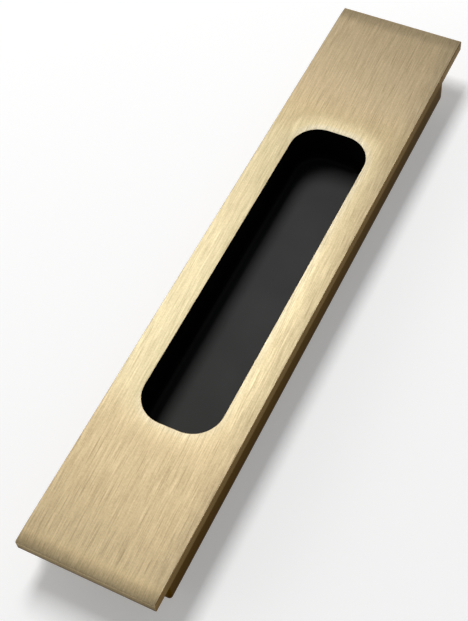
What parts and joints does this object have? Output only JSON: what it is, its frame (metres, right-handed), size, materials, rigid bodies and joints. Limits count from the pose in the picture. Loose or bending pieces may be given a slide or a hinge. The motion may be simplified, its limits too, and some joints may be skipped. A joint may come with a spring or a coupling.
{
  "type": "sliding door handle",
  "caption": "Flush recessed pull for a sliding door: a long brushed pale gold face with a deep black rounded finger recess, fastened from behind.",
  "frame": {"origin": "below the centre of the face, on the plane of the recess cup's base", "axes": "+Z out of the face, Y along the handle with +Y towards the end with the wider lip, X across it"},
  "size_m": [0.04, 0.204, 0.0144],
  "materials": {
    "pale_gold_metal": "brushed along the length, anodised pale gold",
    "black_plastic": "matte",
    "screw_steel": "zinc plated"
  },
  "bodies": {
    "root": {"face_housing": "pale_gold_metal", "recess_cup": "black_plastic", "cup_screw_1": "screw_steel", "cup_screw_2": "screw_steel", "cup_screw_3": "screw_steel", "cup_screw_4": "screw_steel"}
  },
  "joints": []
}
